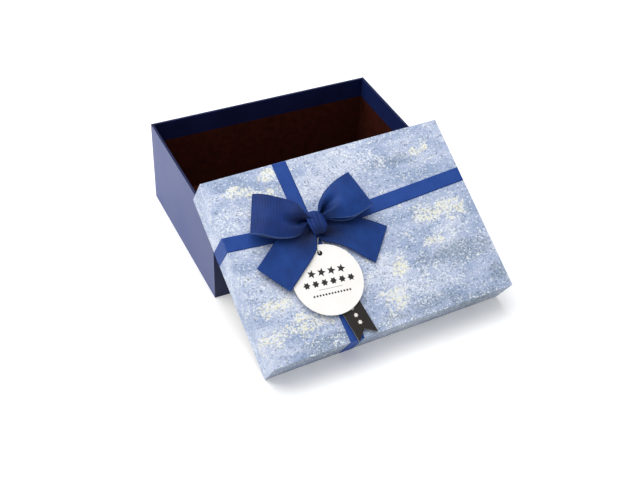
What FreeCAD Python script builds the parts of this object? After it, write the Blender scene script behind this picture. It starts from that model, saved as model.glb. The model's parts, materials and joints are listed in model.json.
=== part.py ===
"""Gift box: an open base tray, a lift-off lid leaning on it, a ribbon bow and two hang tags.

Row frame: millimetres, origin at the centre of the base's underside, +X along the long side,
+Y to the back, +Z up. The lid has a frame of its own, with its origin at the centre of the rim,
+Z out of its top and +Y to its back wall. lid_pose() puts that frame in the row frame.
"""
import FreeCAD
import Part
import math
import os
import Sketcher
from types import SimpleNamespace

from FreeCAD import Placement, Rotation, Vector

doc = FreeCAD.newDocument("gift_box")
sheet = doc.addObject("Spreadsheet::Sheet", "dims")

DIMENSIONS = {
    # rigid board, papers and tape
    "board_thick": 1.8,
    "wrap_thick": 0.2,
    "tape_thick": 0.15,
    "tape_leg": 18.0,
    # base tray
    "base_width": 242.4,
    "base_depth": 173.0,
    "base_height": 91.7,
    "base_turn_in": 22.0,
    # lid
    "lid_width": 250.0,
    "lid_depth": 180.0,
    "lid_height": 36.0,
    "lid_turn_in": 18.0,
    # how the lid leans: its twist on the table, and the room left under it
    "lid_twist": 2.4,
    "rim_ahead": 111.3,
    "twist_centre": 131.0,
    "rim_lift": 0.55,
    "rest_gap": 0.3,
    # narrow ribbons across the lid
    "ribbon_width": 14.2,
    "ribbon_thick": 0.35,
    "ribbon_tuck": 12.0,
    "bridge_margin": 2.0,
    # bow
    "knot_width": 17.0,
    "knot_length": 23.0,
    "knot_low": 38.0,
    "knot_high": 49.8,
    "knot_round": 3.5,
    "left_tail_low": 40.8,
    "left_tail_thick": 1.8,
    "right_tail_low": 38.6,
    "right_tail_thick": 1.1,
    "dab_radius": 6.0,
    # tags and their thread
    "round_tag_hole": 2.5,
    "strip_hole": 1.5,
    "round_tag_radius": 33.5,
    "round_tag_thick": 0.5,
    "round_tag_low": 40.0,
    "round_tag_drop": 25.5,
    "round_tag_turn": -5.6,
    "strip_width": 21.0,
    "strip_length": 93.0,
    "strip_notch": 8.4,
    "strip_margin": 6.0,
    "strip_thick": 0.4,
    "strip_low": 37.9,
    "strip_turn": 8.7,
    "thread_diameter": 1.0,
}

for row, (alias, value) in enumerate(DIMENSIONS.items(), start=1):
    sheet.set(f"A{row}", alias)
    sheet.set(f"B{row}", str(value))
    sheet.setAlias(f"B{row}", alias)
doc.recompute()
D = SimpleNamespace(**{alias: float(sheet.get(alias)) for alias in DIMENSIONS})

SKIN = D.wrap_thick + D.tape_thick
WALL = SKIN + D.board_thick
LID_TOP = D.lid_height

# Places on the lid's top face: x to the right and y to the back of its centre
KNOT = Vector(-40.0, 22.4, 0)
GLUE_DAB = Vector(-42.0, 22.4, 0)
TAG_HOLE = Vector(-45.8, -5.1, 0)
LONG_RIBBON = (Vector(-125, 28.5, 0), Vector(-40, 20.5, 0), Vector(125, 29.5, 0))
SHORT_RIBBON = (Vector(-43, -90, 0), Vector(-46.9, 90, 0))
LEFT_TAIL = ((-50, 24), (-49.2, 10.5), (-54, -6.4), (-86.2, -30.5), (-107.5, -1.5), (-80, 18))
RIGHT_TAIL = ((-30.8, 26), (8, 15.9), (28.4, 0.3), (2.3, -29.2), (-15, -11), (-30.8, 5))

# Sections of each loop from the knot outwards: share of its axis, half width, lowest and highest level
LEFT_LOOP = SimpleNamespace(start=Vector(-52, 27, 0), end=Vector(-95, 45.9, 0),
                            sections=((0, 7, 43.2, 49.5), (0.45, 16, 42.8, 52), (1, 19, 42.8, 48)))
RIGHT_LOOP = SimpleNamespace(start=Vector(-28.6, 26, 0), end=Vector(13, 39.8, 0),
                             sections=((0, 7, 40.5, 49.5), (0.5, 17, 40.2, 56), (1, 19, 42, 53)))

pieces = []


def lid_pose():
    """Return the placement of the lid's frame, leaning on the side walls and twisted a little.

    The front rim stands on the table ahead of the base, and the inner edge of the back wall lies
    on the side walls. The twist turns the lid about an upright line through the middle of its
    overlap with the base, so that its side walls clear the base's by the same room on each side.
    """
    inner_reach = D.lid_depth - WALL - D.wrap_thick
    rise = D.base_height + D.rest_gap - D.rim_lift
    lean = Rotation(Vector(1, 0, 0), math.degrees(math.asin(rise / inner_reach)))
    twist = Rotation(Vector(0, 0, 1), D.lid_twist)
    turn = twist.multiply(lean)
    centre = Vector(0, D.twist_centre - D.base_depth / 2 - D.rim_ahead, D.rim_lift)
    front_rim = centre - twist.multVec(Vector(0, D.twist_centre, 0))
    return Placement(front_rim + turn.multVec(Vector(0, D.lid_depth / 2, 0)), turn)


BASE_POSE = Placement()
LID_POSE = lid_pose()


def register(feature, label, pose):
    """Give a finished sub-part its label and its place, and list it for export."""
    feature.Label = label
    feature.Placement = pose.multiply(feature.Placement)
    pieces.append(feature)
    return feature


def block(name, size, corner):
    """Add a box whose three sides follow expressions, with its lowest corner at a point."""
    box = doc.addObject("Part::Box", name)
    for side, expression in zip(("Length", "Width", "Height"), size):
        box.setExpression(side, expression)
    box.Placement.Base = Vector(*corner)
    return box


def cut(name, base, tool):
    """Cut one feature away from another."""
    feature = doc.addObject("Part::Cut", name)
    feature.Base = base
    feature.Tool = tool
    return feature


def fuse(name, shapes):
    """Join several features into one solid."""
    feature = doc.addObject("Part::MultiFuse", name)
    feature.Shapes = shapes
    feature.Refine = True
    return feature


def plate(name, outline, low, thickness):
    """Raise a flat outline from a level by a thickness that follows an expression."""
    polygon = doc.addObject("Part::Polygon", name + "_outline")
    polygon.Nodes = [Vector(x, y, low) for x, y in outline]
    polygon.Close = True
    solid = doc.addObject("Part::Extrusion", name)
    solid.Base = polygon
    solid.DirMode = "Custom"
    solid.Dir = Vector(0, 0, 1)
    solid.Solid = True
    solid.setExpression("LengthFwd", thickness)
    return solid


def card_tray(prefix, panel, pose, inverted):
    """Build a set-up tray of boards, corner tape, wrap and linings: upright, or inverted as a lid."""
    width, depth, height = (getattr(D, f"{prefix}_{side}") for side in ("width", "depth", "height"))
    turn_in = getattr(D, f"{prefix}_turn_in")
    wide, deep, tall = (f"dims.{prefix}_{side}" for side in ("width", "depth", "height"))
    skin = "(dims.wrap_thick + dims.tape_thick)"
    wall = f"({skin} + dims.board_thick)"
    board_tall = f"{tall} - 2 * dims.wrap_thick"

    def level(low, high):
        """Return the lower of two levels, counted from the open side when the tray is inverted."""
        return height - high if inverted else low

    def centred(name, inset, inset_text, low, high, tall_text):
        """Add a box that keeps an equal inset from all four outer sides."""
        size = (f"{wide} - 2 * {inset_text}", f"{deep} - 2 * {inset_text}", tall_text)
        return block(name, size, (inset - width / 2, inset - depth / 2, level(low, high)))

    rim = height - D.wrap_thick
    band = height - turn_in
    floor_top = D.wrap_thick + D.board_thick

    # boards: the panel lies between the four walls
    board = centred(f"{prefix}_{panel}_board", WALL, wall, D.wrap_thick, floor_top, "dims.board_thick")
    register(board, board.Name, pose)
    wall_level = level(D.wrap_thick, rim)
    for side, sign in (("front", -1), ("back", 1)):
        low_y = -depth / 2 + SKIN if sign < 0 else depth / 2 - WALL
        size = (f"{wide} - 2 * {skin}", "dims.board_thick", board_tall)
        board = block(f"{prefix}_{side}_board", size, (SKIN - width / 2, low_y, wall_level))
        register(board, board.Name, pose)
    for side, sign in (("left", -1), ("right", 1)):
        low_x = -width / 2 + SKIN if sign < 0 else width / 2 - WALL
        size = ("dims.board_thick", f"{deep} - 2 * {wall}", board_tall)
        board = block(f"{prefix}_{side}_board", size, (low_x, WALL - depth / 2, wall_level))
        register(board, board.Name, pose)

    # corner stays: an angle of tape round each outer corner of the walls
    leg = D.tape_leg
    for side_y, sign_y in (("front", -1), ("back", 1)):
        for side_x, sign_x in (("left", -1), ("right", 1)):
            name = f"{prefix}_corner_stay_{side_y}_{side_x}"
            low_x = sign_x * (width / 2 - D.wrap_thick) - (leg if sign_x > 0 else 0)
            low_y = sign_y * (depth / 2 - D.wrap_thick) - (leg if sign_y > 0 else 0)
            outer = block(name + "_outer", ("dims.tape_leg", "dims.tape_leg", board_tall),
                          (low_x, low_y, wall_level))
            corner = (low_x - sign_x * D.tape_thick, low_y - sign_y * D.tape_thick, wall_level)
            inner = block(name + "_inner", ("dims.tape_leg", "dims.tape_leg", board_tall), corner)
            register(cut(name, outer, inner), name, pose)

    # wrap: the outer skin, less the space for the boards, open inside the turned-in band
    outer = block(f"{prefix}_wrap_outer", (wide, deep, tall),
                  (-width / 2, -depth / 2, 0))
    space = centred(f"{prefix}_wrap_space", D.wrap_thick, "dims.wrap_thick",
                    D.wrap_thick, rim, board_tall)
    tucked = centred(f"{prefix}_wrap_tucked", WALL, wall, band, rim,
                     f"dims.{prefix}_turn_in - dims.wrap_thick")
    mouth = centred(f"{prefix}_wrap_mouth", WALL + D.wrap_thick, f"({wall} + dims.wrap_thick)",
                    band, height, f"dims.{prefix}_turn_in")
    core = cut(f"{prefix}_wrap_core", space, tucked)
    shell = cut(f"{prefix}_wrap_shell", outer, core)
    register(cut(f"{prefix}_wrap", shell, mouth), f"{prefix}_wrap", pose)

    # linings: a ring up to the turned-in band, and a sheet on the panel inside the ring
    ring_tall = f"{tall} - dims.{prefix}_turn_in - dims.wrap_thick - dims.board_thick"
    ring_outer = centred(f"{prefix}_lining_outer", WALL, wall, floor_top, band, ring_tall)
    ring_inner = centred(f"{prefix}_lining_inner", WALL + D.wrap_thick,
                         f"({wall} + dims.wrap_thick)", floor_top, band, ring_tall)
    name = f"{prefix}_wall_lining"
    register(cut(name, ring_outer, ring_inner), name, pose)
    sheet_lining = centred(f"{prefix}_{panel}_lining", WALL + D.wrap_thick,
                           f"({wall} + dims.wrap_thick)", floor_top, floor_top + D.wrap_thick,
                           "dims.wrap_thick")
    register(sheet_lining, sheet_lining.Name, pose)


def tucked_ends(name, place, along_x):
    """Add the strips that carry a ribbon down one wall, under the rim and up inside it.

    place is the middle of the ribbon where it crosses the edge of the lid's top.
    """
    thin = "dims.ribbon_thick"
    wall = "(dims.wrap_thick * 2 + dims.tape_thick + dims.board_thick)"
    wide = "dims.ribbon_width"
    reach = place.x if along_x else place.y
    sign = 1 if reach > 0 else -1
    strips = []
    inner_face = D.wrap_thick + WALL
    runs = (
        ("wall", thin, "dims.lid_height + 2 * dims.ribbon_thick", 0, D.ribbon_thick, -D.ribbon_thick),
        ("under", f"{wall} + 2 * {thin}", thin, -inner_face - D.ribbon_thick, D.ribbon_thick,
         -D.ribbon_thick),
        ("tuck", thin, "dims.ribbon_tuck", -inner_face - D.ribbon_thick, -inner_face,
         -D.ribbon_thick),
    )
    for run, across, tall, near, far, low in runs:
        start = sign * (abs(reach) + (near if sign > 0 else far))
        side = -D.ribbon_width / 2
        if along_x:
            size, corner = (across, wide, tall), (start, place.y + side, low)
        else:
            size, corner = (wide, across, tall), (place.x + side, start, low)
        strips.append(block(f"{name}_{run}", size, corner))
    return strips


def band_outline(points, half_width):
    """Return the outline of a flat band of even width whose middle follows the points."""
    along_x = abs(points[-1].x - points[0].x) > abs(points[-1].y - points[0].y)
    offset = Vector(0, half_width, 0) if along_x else Vector(half_width, 0, 0)
    right = [point - offset for point in points]
    left = [point + offset for point in reversed(points)]
    return [(point.x, point.y) for point in right + left]


def add_ribbons():
    """Build the long ribbon, and the short one that steps over it under the bow."""
    half = D.ribbon_width / 2
    top = plate("long_ribbon_top", band_outline(LONG_RIBBON, half), LID_TOP, "dims.ribbon_thick")
    strips = [top]
    strips += tucked_ends("long_ribbon_left", LONG_RIBBON[0], True)
    strips += tucked_ends("long_ribbon_right", LONG_RIBBON[-1], True)
    register(fuse("long_ribbon", strips), "long_ribbon", LID_POSE)

    full = plate("short_ribbon_full", band_outline(SHORT_RIBBON, half), LID_TOP, "dims.ribbon_thick")
    crossing = LONG_RIBBON[1]
    room = D.ribbon_width + 2 * D.bridge_margin
    share = (crossing.y - SHORT_RIBBON[0].y) / (SHORT_RIBBON[1].y - SHORT_RIBBON[0].y)
    middle = SHORT_RIBBON[0] + (SHORT_RIBBON[1] - SHORT_RIBBON[0]) * share
    gap = block("short_ribbon_gap", ("2 * dims.ribbon_width",
                                     "dims.ribbon_width + 2 * dims.bridge_margin",
                                     "2 * dims.ribbon_thick"),
                (middle.x - D.ribbon_width, crossing.y - room / 2, LID_TOP))
    bridge = block("short_ribbon_bridge", ("dims.ribbon_width",
                                           "dims.ribbon_width + 4 * dims.bridge_margin",
                                           "dims.ribbon_thick"),
                   (middle.x - half, crossing.y - room / 2 - D.bridge_margin,
                    LID_TOP + D.ribbon_thick))
    strips = [cut("short_ribbon_top", full, gap), bridge]
    strips += tucked_ends("short_ribbon_front", SHORT_RIBBON[0], False)
    strips += tucked_ends("short_ribbon_back", SHORT_RIBBON[-1], False)
    register(fuse("short_ribbon", strips), "short_ribbon", LID_POSE)


def add_loop(name, loop):
    """Build a bow loop as a closed solid lofted from the knot to its outer fold."""
    axis = loop.end - loop.start
    across = Vector(-axis.y, axis.x, 0).normalize()
    profiles = []
    for index, (share, half_width, low, high) in enumerate(loop.sections):
        middle = loop.start + axis * share
        profile = doc.addObject("Part::Polygon", f"{name}_section_{index}")
        corners = ((-1, low), (1, low), (1, high), (-1, high))
        profile.Nodes = [middle + across * side * half_width + Vector(0, 0, z) for side, z in corners]
        profile.Close = True
        profiles.append(profile)
    loft = doc.addObject("Part::Loft", name)
    loft.Sections = profiles
    loft.Solid = True
    loft.Ruled = True
    register(loft, name, LID_POSE)


def add_bow():
    """Build the loops, tails, knot and glue dab of the bow."""
    add_loop("bow_left_loop", LEFT_LOOP)
    add_loop("bow_right_loop", RIGHT_LOOP)
    tail = plate("bow_left_tail", LEFT_TAIL, D.left_tail_low, "dims.left_tail_thick")
    register(tail, tail.Name, LID_POSE)
    tail = plate("bow_right_tail", RIGHT_TAIL, D.right_tail_low, "dims.right_tail_thick")
    register(tail, tail.Name, LID_POSE)

    corner = KNOT - Vector(D.knot_width / 2, D.knot_length / 2, -D.knot_low)
    bulk = block("bow_knot_bulk", ("dims.knot_width", "dims.knot_length",
                                   "dims.knot_high - dims.knot_low"), corner)
    doc.recompute()
    knot = doc.addObject("Part::Fillet", "bow_knot")
    knot.Base = bulk
    upper = [number for number, edge in enumerate(bulk.Shape.Edges, start=1)
             if edge.CenterOfMass.z > D.knot_low + D.knot_round]
    knot.Edges = [(number, D.knot_round, D.knot_round) for number in upper]
    register(knot, "bow_knot", LID_POSE)

    dab = doc.addObject("Part::Cylinder", "bow_glue_dab")
    dab.setExpression("Radius", "dims.dab_radius")
    dab.setExpression("Height", "dims.knot_low - dims.lid_height - 2 * dims.ribbon_thick")
    dab.Placement.Base = GLUE_DAB + Vector(0, 0, LID_TOP + 2 * D.ribbon_thick)
    register(dab, "bow_glue_dab", LID_POSE)


def new_sketch(body, name):
    """Add a sketch on the body's own XY plane."""
    sketch = body.newObject("Sketcher::SketchObject", name)
    plane = next(item for item in body.Origin.OriginFeatures if item.Role == "XY_Plane")
    sketch.AttachmentSupport = [(plane, "")]
    sketch.MapMode = "FlatFace"
    return sketch


def bind(sketch, constraint, expression):
    """Add a dimension to a sketch and bind it to an expression."""
    index = sketch.addConstraint(constraint)
    sketch.setExpression(f"Constraints[{index}]", expression)


def add_circle(sketch, radius, radius_text, drop, drop_text):
    """Add a circle on the sketch's Y axis, below its origin by a bound distance."""
    circle = sketch.addGeometry(Part.Circle(Vector(0, -drop, 0), Vector(0, 0, 1), radius))
    bind(sketch, Sketcher.Constraint("Radius", circle, radius), radius_text)
    sketch.addConstraint(Sketcher.Constraint("PointOnObject", circle, 3, -2))
    if drop:
        bind(sketch, Sketcher.Constraint("DistanceY", circle, 3, -1, 1, drop), drop_text)
    else:
        sketch.addConstraint(Sketcher.Constraint("PointOnObject", circle, 3, -1))


def pad(body, sketch, length_text):
    """Raise a sketch by a bound length."""
    feature = body.newObject("PartDesign::Pad", sketch.Name + "_pad")
    feature.Profile = sketch
    feature.setExpression("Length", length_text)
    return feature


def tag_pose(low, turn):
    """Return the placement of a tag that hangs from the thread, at a level and an angle."""
    local = Placement(TAG_HOLE + Vector(0, 0, low), Rotation(Vector(0, 0, 1), turn))
    return LID_POSE.multiply(local)


def add_tags():
    """Build the round card and the swallowtail strip, each drawn about its own thread hole."""
    body = doc.addObject("PartDesign::Body", "round_tag")
    sketch = new_sketch(body, "round_tag_sketch")
    add_circle(sketch, D.round_tag_radius, "dims.round_tag_radius", D.round_tag_drop,
               "dims.round_tag_drop")
    add_circle(sketch, D.round_tag_hole, "dims.round_tag_hole", 0, "")
    pad(body, sketch, "dims.round_tag_thick")
    register(body, "round_tag", tag_pose(D.round_tag_low, D.round_tag_turn))

    body = doc.addObject("PartDesign::Body", "swallowtail_tag")
    sketch = new_sketch(body, "swallowtail_tag_sketch")
    half = D.strip_width / 2
    bottom = D.strip_margin - D.strip_length
    half_text = "dims.strip_width / 2"
    bottom_text = "dims.strip_margin - dims.strip_length"
    corners = (
        (-half, D.strip_margin, f"-{half_text}", "dims.strip_margin"),
        (half, D.strip_margin, half_text, "dims.strip_margin"),
        (half, bottom, half_text, bottom_text),
        (0, bottom + D.strip_notch, "0 mm", f"{bottom_text} + dims.strip_notch"),
        (-half, bottom, f"-{half_text}", bottom_text),
    )
    for (x, y, _, _), (next_x, next_y, _, _) in zip(corners, corners[1:] + corners[:1]):
        sketch.addGeometry(Part.LineSegment(Vector(x, y, 0), Vector(next_x, next_y, 0)))
    for index, (x, y, x_text, y_text) in enumerate(corners):
        sketch.addConstraint(Sketcher.Constraint("Coincident", index - 1 if index else 4, 2, index, 1))
        if x:
            bind(sketch, Sketcher.Constraint("DistanceX", -1, 1, index, 1, x), x_text)
        else:
            sketch.addConstraint(Sketcher.Constraint("PointOnObject", index, 1, -2))
        bind(sketch, Sketcher.Constraint("DistanceY", -1, 1, index, 1, y), y_text)
    add_circle(sketch, D.strip_hole, "dims.strip_hole", 0, "")
    pad(body, sketch, "dims.strip_thick")
    register(body, "swallowtail_tag", tag_pose(D.strip_low, D.strip_turn))


# The thread's route in the lid's frame: from the knot over the tags' rims, down through their
# holes and back under them to the knot
THREAD_ROUTE = (
    Vector(-44.0, 10.6, 42.3),
    Vector(-44.4, 7.2, 41.8),
    Vector(-44.8, 3.2, 41.35),
    Vector(-45.7, -0.7, 41.25),
    Vector(-46.0, -4.8, 41.5),
    Vector(-46.0, -4.9, 36.95),
    Vector(-45.0, -1.0, 37.1),
    Vector(-43.7, 2.6, 37.0),
    Vector(-41.9, 6.8, 37.15),
    Vector(-40.2, 10.5, 39.2),
)


# Share of the shorter run beside a point that its arc takes up
ARC_SHARE = 0.45


def thread_path(points):
    """Return straight runs joined by tangent arcs, each as large as its two runs allow."""
    edges = []
    radii = []
    start = points[0]
    for before, corner, after in zip(points, points[1:], points[2:]):
        inward = (corner - before).normalize()
        outward = (after - corner).normalize()
        turn = inward.getAngle(outward)
        trim = ARC_SHARE * min(before.distanceToPoint(corner), corner.distanceToPoint(after))
        radius = trim / math.tan(turn / 2)
        radii.append(radius)
        first = corner - inward * trim
        last = corner + outward * trim
        bisector = (outward - inward).normalize()
        centre = corner + bisector * (radius / math.cos(turn / 2))
        middle = centre - bisector * radius
        edges.append(Part.LineSegment(start, first).toShape())
        edges.append(Part.Arc(first, middle, last).toShape())
        start = last
    edges.append(Part.LineSegment(start, points[-1]).toShape())
    print("thread radii, mm:", ", ".join(f"{radius:.1f}" for radius in radii))
    return Part.Wire(edges)


def add_thread():
    """Build the thread as a plain tube along its route."""
    path = thread_path(THREAD_ROUTE)
    radius = D.thread_diameter / 2
    direction = THREAD_ROUTE[1] - THREAD_ROUTE[0]
    section = Part.Wire(Part.makeCircle(radius, THREAD_ROUTE[0], direction))
    tube = path.makePipeShell([section], True, True)
    expected = math.pi * radius ** 2 * path.Length
    print(f"thread length {path.Length:.1f} mm, volume {tube.Volume:.2f} of {expected:.2f} mm3")
    feature = doc.addObject("Part::Feature", "tag_thread")
    feature.Shape = tube
    register(feature, "tag_thread", LID_POSE)


def report_joints():
    """Print the tags' pivot and its axis in the row frame."""
    pivot = LID_POSE.multVec(TAG_HOLE + Vector(0, 0, LID_TOP))
    axis = LID_POSE.Rotation.multVec(Vector(0, 0, 1))
    print("tag pivot, mm:", ", ".join(f"{value:.3f}" for value in pivot))
    print("tag axis:", ", ".join(f"{value:.6f}" for value in axis))


def check_and_export():
    """Stop on a failed feature or a bad shape, then write each sub-part to its STEP file."""
    doc.recompute()
    for item in doc.Objects:
        if {"Invalid", "Error"} & set(item.State):
            raise RuntimeError(f"{item.Label}: {item.State}")
    for piece in pieces:
        shape = piece.Shape
        if shape.isNull() or not shape.isValid() or shape.Volume <= 0:
            raise RuntimeError(f"{piece.Label}: bad shape")
        if len(shape.Solids) != 1:
            raise RuntimeError(f"{piece.Label}: {len(shape.Solids)} solids")
    os.makedirs("parts", exist_ok=True)
    for piece in pieces:
        piece.Shape.exportStep(f"parts/{piece.Label}.step")
    print(f"{len(pieces)} sub-parts written")


card_tray("base", "floor", BASE_POSE, inverted=False)
card_tray("lid", "top", LID_POSE, inverted=True)
add_ribbons()
add_bow()
add_tags()
add_thread()
report_joints()
check_and_export()
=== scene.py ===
"""Gift box: the looks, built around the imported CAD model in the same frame, in metres."""

import json
import logging
import math
from dataclasses import dataclass
from enum import Enum
from typing import Any, Iterable, Sequence

import bpy
import numpy as np
from mathutils import Matrix, Vector


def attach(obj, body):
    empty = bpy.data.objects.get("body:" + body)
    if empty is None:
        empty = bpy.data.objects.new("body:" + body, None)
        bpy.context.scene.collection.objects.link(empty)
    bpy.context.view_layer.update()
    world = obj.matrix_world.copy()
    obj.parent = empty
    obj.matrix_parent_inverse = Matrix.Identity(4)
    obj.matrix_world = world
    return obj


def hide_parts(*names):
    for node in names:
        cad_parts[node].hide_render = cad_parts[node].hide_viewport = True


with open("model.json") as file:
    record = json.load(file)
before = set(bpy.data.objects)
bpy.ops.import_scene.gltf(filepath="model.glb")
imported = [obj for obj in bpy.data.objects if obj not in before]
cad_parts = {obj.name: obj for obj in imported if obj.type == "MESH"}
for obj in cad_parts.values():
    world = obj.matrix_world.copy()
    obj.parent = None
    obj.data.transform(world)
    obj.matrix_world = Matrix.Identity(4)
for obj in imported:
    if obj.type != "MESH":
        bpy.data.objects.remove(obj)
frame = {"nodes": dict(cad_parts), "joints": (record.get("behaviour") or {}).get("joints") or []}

LOG = logging.getLogger("gift_box")
MM = 0.001
Point2 = tuple[float, float]
Point3 = tuple[float, float, float]
Colour = tuple[float, float, float]
Patch = tuple[Point3, Point3]


class Slot(Enum):
    """The record's material slots that the pieces take their finish from."""

    GREYBOARD = "greyboard"
    CORNER_TAPE = "corner_tape"
    NAVY_PAPER = "navy_paper"
    PRINTED_PAPER = "printed_paper"
    BROWN_LINING = "brown_lining"
    PALE_LINING = "pale_lining"
    BAND_RIBBON = "band_ribbon"
    BOW_RIBBON = "bow_ribbon"
    HOT_MELT = "hot_melt"
    WHITE_CARD = "white_card"
    BLACK_CARD = "black_card"
    WHITE_THREAD = "white_thread"


class Body(Enum):
    """The bodies that the pieces made here ride on."""

    LID = "lid"
    ROUND_TAG = "round_tag"
    SWALLOWTAIL_TAG = "swallowtail_tag"


def scene_object(name: str, data: Any) -> bpy.types.Object:
    """Make an object of a mesh, curve, light or camera, and put it in the scene.

    Args:
        name: The object's name.
        data: The mesh, curve, light or camera.

    Returns:
        The object, at the origin.
    """
    made = bpy.data.objects.new(name, data)
    bpy.context.scene.collection.objects.link(made)
    return made


def srgb(red: float, green: float, blue: float) -> Colour:
    """Return a linear colour for display values from 0 to 255.

    Args:
        red: The red value.
        green: The green value.
        blue: The blue value.

    Returns:
        The linear red, green and blue, from 0 to 1.
    """
    linear = []
    for value in (red, green, blue):
        share = value / 255
        linear.append(share / 12.92 if share <= 0.04045 else ((share + 0.055) / 1.055) ** 2.4)
    return tuple(linear)


# ---------------------------------------------------------------- frame of the leaning lid


@dataclass(frozen=True)
class LidFrame:
    """The lid's own axes: the middle of its rim plane, x right, y back, z out of its top."""

    origin: Vector
    x: Vector
    y: Vector
    z: Vector

    @classmethod
    def from_frame(cls) -> "LidFrame":
        """Return the lid's frame, from the tag hinge's axis and the lid's wrap."""
        hinge = next(joint for joint in frame["joints"] if joint["child"] == Body.ROUND_TAG.value)
        z = Vector(hinge["axis"]).normalized()
        x = Vector((0, 0, 1)).cross(z).normalized()
        y = z.cross(x)
        turn = Matrix((x, y, z))
        local = np.array([turn @ vertex.co for vertex in frame["nodes"]["lid_wrap"].data.vertices])
        low, high = local.min(0), local.max(0)
        rim = Vector(((low[0] + high[0]) / 2, (low[1] + high[1]) / 2, low[2]))
        return cls(turn.transposed() @ rim, x, y, z)

    def matrix(self) -> Matrix:
        """Return the matrix from the lid's frame to the row frame."""
        turn = Matrix((self.x, self.y, self.z)).transposed()
        return Matrix.Translation(self.origin) @ turn.to_4x4()

    def place(self, points: np.ndarray) -> np.ndarray:
        """Return points of the lid's frame, in mm, as points of the row frame, in metres.

        Args:
            points: An array whose last axis is x, y, z in mm.

        Returns:
            An array of the same shape, in metres.
        """
        turn = np.array([self.x, self.y, self.z])
        return np.asarray(points, float) * MM @ turn + np.array(self.origin)


LID = LidFrame.from_frame()


# ---------------------------------------------------------------- node trees


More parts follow.
